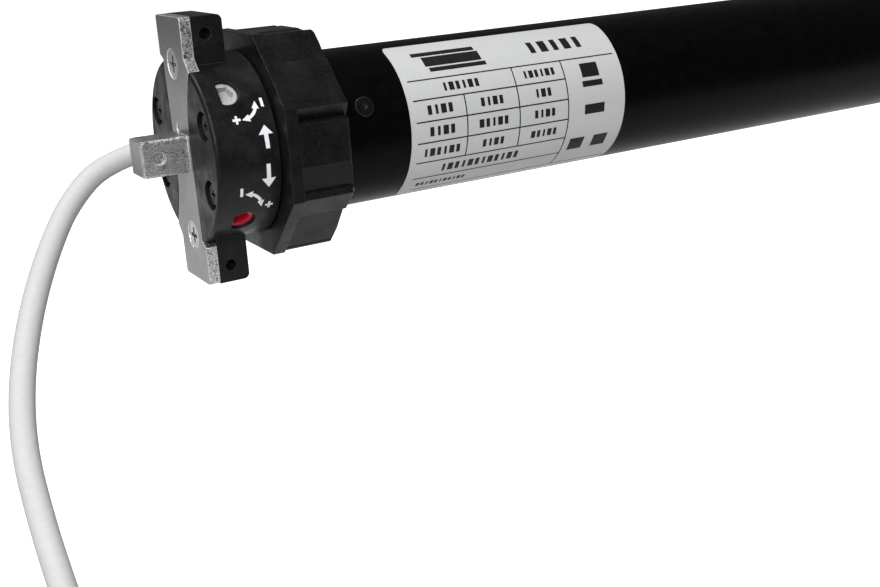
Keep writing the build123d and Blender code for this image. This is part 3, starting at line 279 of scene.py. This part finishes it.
pit(zinc, 3000, 0.04, (0.13, 0.13, 0.13), (0.74, 0.74, 0.73), 0.3)
# Painted highlight along the bar's and pin's edges: a pale, less metallic tone standing in for light caught
# there.
paint_edge_highlight(zinc, 0.45, (0.82, 0.82, 0.81), 0.9, 0.35)
paint(zinc, "mounting_bracket")
screw_steel = skin("zinc_plated_steel", (0.38, 0.38, 0.37), (0.6, 0.6, 0.59), 2500, (0.25, 0.4), 0.02,
                   1.0, 0.12)
paint(screw_steel, "bracket_screws")

# Head. A moulded drum of glass-filled nylon with two eared lugs behind the bar, screwed to the core with
# four screws that sit deep in its face. The skin is matt, with a fine spark-eroded grain.
nylon = skin("glass_filled_nylon", (0.003, 0.003, 0.0034), (0.008, 0.008, 0.0088), 1600, (0.28, 0.54),
             0.03, 0, 0.3,
             0.2)
paint(nylon, "head_housing")
black_steel = skin("blackened_steel", (0.010, 0.010, 0.011), (0.035, 0.035, 0.037), 2200, (0.3, 0.45),
                   0.02, 0.9,
                   0.12)
# Painted highlight along the screw heads' edges: a pale grey tone.
paint_edge_highlight(black_steel, 0.2, (0.35, 0.35, 0.35), 0.6, 0.9)
paint(black_steel, "face_screws", "tube_screws")

# Limit adjusters. Two small nylon screws with hex sockets look out of the drum's side, white and red.
# What they shift in the real head is not known from the picture; here each one only turns.
paint(skin("white_nylon", (0.36, 0.36, 0.36), (0.44, 0.44, 0.44), 1500, (0.3, 0.45), 0.02, 0, 0.15),
      "limit_screw_up")
paint(skin("red_nylon", (0.45, 0.010, 0.035), (0.60, 0.022, 0.06), 1500, (0.3, 0.45), 0.02, 0, 0.15),
      "limit_screw_down")

# Printed marks on the drum. White pad-printed ink: an arrow for each way of turning, and for each
# adjuster a plus and a minus with a bent double arrow between them.
ink = skin("white_ink", (0.70, 0.72, 0.76), (0.80, 0.82, 0.86), 2500, (0.5, 0.65), 0.01, 0, 0)
drum_skin = 25.24
arrow_width = 1.15
arrow_head = 4.0
tip_width = 0.05
plus_width = 0.65
plus_half = 1.1
minus_width = 0.8
minus_half = 1.25
bend_width = 0.85
bend_head = 2.0
marks = bmesh.new()


def ribbon(mesh, path, widths, radius):
    """A printed line on the motor's round side. Its path is along the motor and round it, both in mm."""
    rows = []
    for index, point in enumerate(path):
        ahead = (Vector(path[min(index + 1, len(path) - 1)]) - Vector(path[max(index - 1, 0)])).normalized()
        side = Vector((-ahead.y, ahead.x)) * widths[index] / 2
        row = []
        for flat in (Vector(point) + side, Vector(point) - side):
            angle = flat.y / radius
            row.append(mesh.verts.new((flat.x * mm, -radius * math.cos(angle) * mm,
                                       radius * math.sin(angle) * mm)))
        rows.append(row)
    for first, last in zip(rows, rows[1:]):
        mesh.faces.new((first[0], first[1], last[1], last[0]))


def stroke(mesh, start, end, width, radius, end_width=None):
    """A straight printed bar, or an arrow head where it narrows."""
    steps = max(1, math.ceil(abs(end[1] - start[1]) / 0.5))
    shares = [step / steps for step in range(steps + 1)]
    last = width if end_width is None else end_width
    ribbon(mesh, [Vector(start).lerp(Vector(end), share) for share in shares],
           [width + (last - width) * share for share in shares], radius)


for x, foot, neck, tip in ((14.4, 2.3, 6.0, 8.4), (14.0, -1.7, -5.6, -8.2)):
    stroke(marks, (x, foot), (x, neck), arrow_width, drum_skin)
    stroke(marks, (x, neck), (x, tip), arrow_head, drum_skin, tip_width)
for centre, bow, way, plus, minus in (((9.1, 14.9), 4.5, -1, (7.4, 10.6), (15.4, 14.5)),
                                      ((7.6, -14.0), 4.7, 1, (14.5, -14.0), (6.4, -8.6))):
    stroke(marks, (plus[0] - plus_half, plus[1]), (plus[0] + plus_half, plus[1]), plus_width, drum_skin)
    stroke(marks, (plus[0], plus[1] - plus_half), (plus[0], plus[1] + plus_half), plus_width, drum_skin)
    stroke(marks, (minus[0], minus[1] - minus_half), (minus[0], minus[1] + minus_half), minus_width,
           drum_skin)
    bend = [math.radians(66 - 42 * step / 6) for step in range(7)]
    ribbon(marks, [(centre[0] + bow * math.cos(lean),
                    centre[1] + way * bow * math.sin(lean)) for lean in bend],
           [bend_width] * 7, drum_skin)
    stroke(marks, (centre[0] + 1.9, centre[1] + way * (bow - 0.35)),
           (centre[0] - 0.2, centre[1] + way * bow), bend_head,
           drum_skin, tip_width)
    stroke(marks, (centre[0] + bow - 0.35, centre[1] + way * 1.9),
           (centre[0] + bow, centre[1] - way * 0.2), bend_head,
           drum_skin, tip_width)


def piece(name, mesh, material, body):
    """Turns a bmesh into a named piece with one finish, riding on a body."""
    data = bpy.data.meshes.new(name)
    mesh.to_mesh(data)
    mesh.free()
    data.materials.append(material)
    made = bpy.data.objects.new(name, data)
    scene.collection.objects.link(made)
    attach(made, body)
    return made


piece("drum_marks", marks, ink, "motor")

# Crown. A moulded acetal ring, octagonal outside to fit the roller tube, that runs loose on the core.
# It is faintly scuffed, as the drum is, and has a painted highlight along its edges, a paler tone.
acetal = skin("scuffed_acetal", (0.002, 0.002, 0.0024), (0.007, 0.007, 0.008), 1100, (0.26, 0.5), 0.04,
              0, 0.45,
              0.25)


def scuff(material, grain, start, amount, tone):
    """Adds pale rubbed spots to a finish, where a noise passes its start."""
    tree = material.node_tree
    shader = tree.nodes["Principled BSDF"]
    place = tree.nodes["Texture Coordinate"].outputs["Object"]
    spots = tree.nodes.new("ShaderNodeTexNoise")
    spots.inputs["Scale"].default_value = grain
    spots.inputs["Detail"].default_value = 8
    spots.inputs["Roughness"].default_value = 0.7
    tree.links.new(place, spots.inputs["Vector"])
    cut = tree.nodes.new("ShaderNodeMapRange")
    cut.inputs["From Min"].default_value = start
    cut.inputs["From Max"].default_value = start + 0.14
    cut.inputs["To Max"].default_value = amount
    tree.links.new(spots.outputs["Fac"], cut.inputs["Value"])
    blend = tree.nodes.new("ShaderNodeMix")
    blend.data_type = "RGBA"
    blend.inputs["B"].default_value = (*tone, 1)
    tree.links.new(cut.outputs["Result"], blend.inputs["Factor"])
    tree.links.new(shader.inputs["Base Color"].links[0].from_socket, blend.inputs["A"])
    tree.links.new(blend.outputs["Result"], shader.inputs["Base Color"])


scuff(acetal, 420, 0.6, 0.25, (0.07, 0.07, 0.07))
scuff(acetal, 130, 0.52, 0.2, (0.02, 0.02, 0.02))
scuff(nylon, 420, 0.6, 0.2, (0.05, 0.05, 0.05))
scuff(nylon, 110, 0.52, 0.3, (0.022, 0.022, 0.022))
# Painted highlight along the edges of the crown, the wheel and the drum: a paler tone.
paint_edge_highlight(acetal, 0.3, (0.06, 0.06, 0.06), 0.22)
paint_edge_highlight(nylon, 0.3, (0.08, 0.08, 0.08), 0.4)
paint(acetal, "crown", "drive_wheel")

# Motor tube. Drawn steel tube with a smooth black semi-gloss coat, held to the core and to the gearbox
# flange by two small screws at each end.
coat = skin("black_coat", (0.001, 0.001, 0.0012), (0.0022, 0.0022, 0.0025), 260, (0.28, 0.36), 0.004, 0,
            0.2, 0.05)
paint(coat, "motor_tube")

# Rating label. Pale grey polyester film stuck round the tube, printed with a ruled table.
# Plain dashes stand where a real one has its ratings, and plain patches where it has marks.
film = skin("label_film", (0.49, 0.495, 0.50), (0.51, 0.515, 0.52), 900, (0.38, 0.5), 0.004, 0, 0)
paint(film, "rating_label")
black_print = skin("black_print", (0.006, 0.006, 0.007), (0.014, 0.014, 0.016), 2500, (0.45, 0.6), 0.002,
                   0, 0, 0.2)
label_skin = 22.69
table = bmesh.new()
row_lines = ((35.3, 60.4, 132.9), (20.6, 60.3, 112.8), (5.1, 60.3, 112.8), (-10.2, 60.4, 112.8),
             (-25.8, 60.6, 112.9), (-41.5, 61.0, 113.1), (-57.5, 63.0, 133.6))
column_lines = ((95.2, 35.3, -25.8), (77.0, 20.6, -25.8), (112.9, 35.3, -57.5))
line_width = 0.4
dash_pitch_share = 0.82
dash_least_share = 0.38
dash_step_share = 0.2
dash_height_share = 0.95
degree = math.radians(1) * label_skin
for angle, low, high in row_lines:
    stroke(table, (low, angle * degree), (high, angle * degree), line_width, label_skin)
for x, high, low in column_lines:
    stroke(table, (x, low * degree), (x, high * degree), line_width, label_skin)
dash_rows = ((28.0, ((77.0, 6, 2.6), (104.2, 6, 2.4))),
             (12.9, ((68.5, 4, 2.8), (86.0, 4, 2.6), (104.2, 3, 2.6))),
             (-2.5, ((68.6, 4, 2.8), (86.1, 5, 2.6), (104.2, 4, 2.5))),
             (-18.0, ((68.7, 6, 2.6), (86.2, 4, 2.5), (104.3, 5, 2.4))), (-33.6, ((83.0, 12, 2.8),)),
             (-49.6, ((71.5, 11, 1.9),)))


def patch(x, angle, width, height):
    """A printed block, centred on a place on the label."""
    stroke(table, (x, angle * degree - height / 2), (x, angle * degree + height / 2), width, label_skin)


for angle, words in dash_rows:
    for x, count, height in words:
        pitch = dash_pitch_share * height
        for dash in range(count):
            patch(x + (dash - (count - 1) / 2) * pitch, angle,
                  (dash_least_share + dash_step_share * ((dash * 5 + count) % 3)) * pitch,
                  dash_height_share * height)
for dash in range(5):
    patch(105.5 + dash * 4.2, 50.5, 1.9 + 0.8 * (dash % 2), 4.4)
for x, angle, width, height in ((76.0, 58.0, 21.0, 1.6), (77.6, 50.2, 19.0, 3.6), (78.4, 42.6, 19.0, 1.4),
                                (122.5, 25.0, 6.4, 4.4), (122.6, 14.5, 7.5, 1.8), (122.8, -5.0, 7.5, 3.0),
                                (118.0, -34.0, 5.4, 4.6), (127.0, -34.0, 5.4, 4.6)):
    patch(x, angle, width, height)
piece("label_print", table, black_print, "motor")

# What is sealed inside, in the order that it is put in: the switch gear of the core, the capacitor, the
# motor, the brake and the gearbox, each in its own maker's finish.
natural = skin("natural_nylon", (0.58, 0.56, 0.48), (0.70, 0.68, 0.60), 1200, (0.4, 0.55), 0.04)
paint(nylon, "limit_switch_core")
paint(natural, "terminal_block", "capacitor_rings", "limit_pinion", "limit_idler", "limit_nut_up",
      "limit_nut_down",
      "switch_plunger_up", "switch_plunger_down")
paint(skin("switch_case", (0.30, 0.03, 0.025), (0.42, 0.05, 0.04), 1500, (0.4, 0.5), 0.02),
      "microswitch_up",
      "microswitch_down")
paint(skin("turned_brass", (0.52, 0.36, 0.13), (0.68, 0.50, 0.22), 1800, (0.2, 0.35), 0.01, 1.0),
      "limit_spindle_up",
      "limit_spindle_down")
paint(skin("capacitor_case", (0.70, 0.71, 0.72), (0.78, 0.79, 0.80), 700, (0.25, 0.35), 0.01), "capacitor")
paint(skin("cast_aluminium", (0.42, 0.42, 0.43), (0.62, 0.62, 0.63), 1500, (0.35, 0.5), 0.08, 0.9),
      "rear_end_shield", "front_end_shield", "brake_housing", "gearbox_flange")
paint(skin("sintered_bronze", (0.38, 0.22, 0.09), (0.52, 0.33, 0.15), 2500, (0.35, 0.5), 0.03, 1.0),
      "motor_bushes",
      "output_bush")
paint(skin("laminated_steel", (0.16, 0.16, 0.17), (0.34, 0.34, 0.35), 3000, (0.35, 0.5), 0.03, 0.9),
      "stator_core",
      "rotor_core")
paint(skin("enamelled_copper", (0.42, 0.13, 0.04), (0.62, 0.25, 0.09), 2500, (0.25, 0.4), 0.15, 0.9),
      "stator_windings")
paint(skin("ground_steel", (0.42, 0.42, 0.43), (0.58, 0.58, 0.59), 2500, (0.2, 0.35), 0.01, 1.0),
      "rotor_shaft",
      "brake_spring", "brake_armature", "wheel_clip")
paint(skin("brake_lining", (0.07, 0.055, 0.045), (0.14, 0.11, 0.09), 2500, (0.7, 0.85), 0.06), "brake_disc")
gear_steel = skin("sintered_steel", (0.20, 0.20, 0.21), (0.36, 0.36, 0.37), 2500, (0.35, 0.5), 0.03, 1.0)
paint(gear_steel, "ring_gear", "carrier_1", "carrier_2", "output_carrier",
      *[f"planet_{stage}_{index}" for stage in (1, 2, 3) for index in (1, 2, 3)])

# Bench and light. A plain white bench under the motor, which a stand out of sight holds by its pin, and
# two soft lamps: one in front, high on the left, and one overhead.
bench_drop = 86.0 * mm
bench_seen = 0.92
bench_mirrored = 0.5
bench = bmesh.new()
bmesh.ops.create_grid(bench, x_segments=1, y_segments=1, size=0.5,
                      matrix=Matrix.Translation((0.1, 0.364, -bench_drop))
                         @ Matrix.Diagonal((2.4, 1.072, 1, 1)))
bench_data = bpy.data.meshes.new("bench")
bench.to_mesh(bench_data)
bench.free()
bench_top = bpy.data.objects.new("bench", bench_data)
scene.collection.objects.link(bench_top)
white = bpy.data.materials.new("white_bench")
white.use_nodes = True
tree = white.node_tree
tree.nodes["Principled BSDF"].inputs["Base Color"].default_value = (0.55, 0.55, 0.55, 1)
tree.nodes["Principled BSDF"].inputs["Roughness"].default_value = 0.9
glow = tree.nodes.new("ShaderNodeEmission")
path = tree.nodes.new("ShaderNodeLightPath")
part = tree.nodes.new("ShaderNodeMath")
part.operation = "MULTIPLY"
part.inputs[1].default_value = bench_seen
tree.links.new(path.outputs["Is Camera Ray"], part.inputs[0])
glow.inputs["Strength"].default_value = 1.5
shine = tree.nodes.new("ShaderNodeMath")
shine.operation = "MULTIPLY_ADD"
shine.inputs[1].default_value = bench_mirrored
tree.links.new(path.outputs["Is Glossy Ray"], shine.inputs[0])
tree.links.new(part.outputs["Value"], shine.inputs[2])
mixed = tree.nodes.new("ShaderNodeMixShader")
tree.links.new(shine.outputs["Value"], mixed.inputs["Fac"])
tree.links.new(tree.nodes["Principled BSDF"].outputs["BSDF"], mixed.inputs[1])
tree.links.new(glow.outputs["Emission"], mixed.inputs[2])
tree.links.new(mixed.outputs["Shader"], tree.nodes["Material Output"].inputs["Surface"])
bench_data.materials.append(white)

world = bpy.data.worlds.new("studio")
scene.world = world
world.use_nodes = True
sky = world.node_tree.nodes["Background"]
seen = world.node_tree.nodes.new("ShaderNodeLightPath")
level = world.node_tree.nodes.new("ShaderNodeMapRange")
level.inputs["To Min"].default_value = 0.12
level.inputs["To Max"].default_value = 1.1
world.node_tree.links.new(seen.outputs["Is Camera Ray"], level.inputs["Value"])
world.node_tree.links.new(level.outputs["Result"], sky.inputs["Strength"])
sky.inputs["Color"].default_value = (1, 1, 1, 1)


def lamp(name, place, aim, size, power):
    light = bpy.data.lights.new(name, "AREA")
    light.shape = "RECTANGLE"
    light.size, light.size_y = size
    light.energy = power
    holder = bpy.data.objects.new(name, light)
    way = Vector(aim) - Vector(place)
    holder.matrix_world = Matrix.Translation(Vector(place)) @ way.to_track_quat("-Z",
                                                                                "Y").to_matrix().to_4x4()
    scene.collection.objects.link(holder)


lamp("key_lamp", (-0.5, -0.9, 0.6), (0.05, 0, 0), (0.6, 0.6), 15)
lamp("top_lamp", (-0.2, 0.1, 1.0), (0.05, 0, 0), (0.7, 0.5), 8)
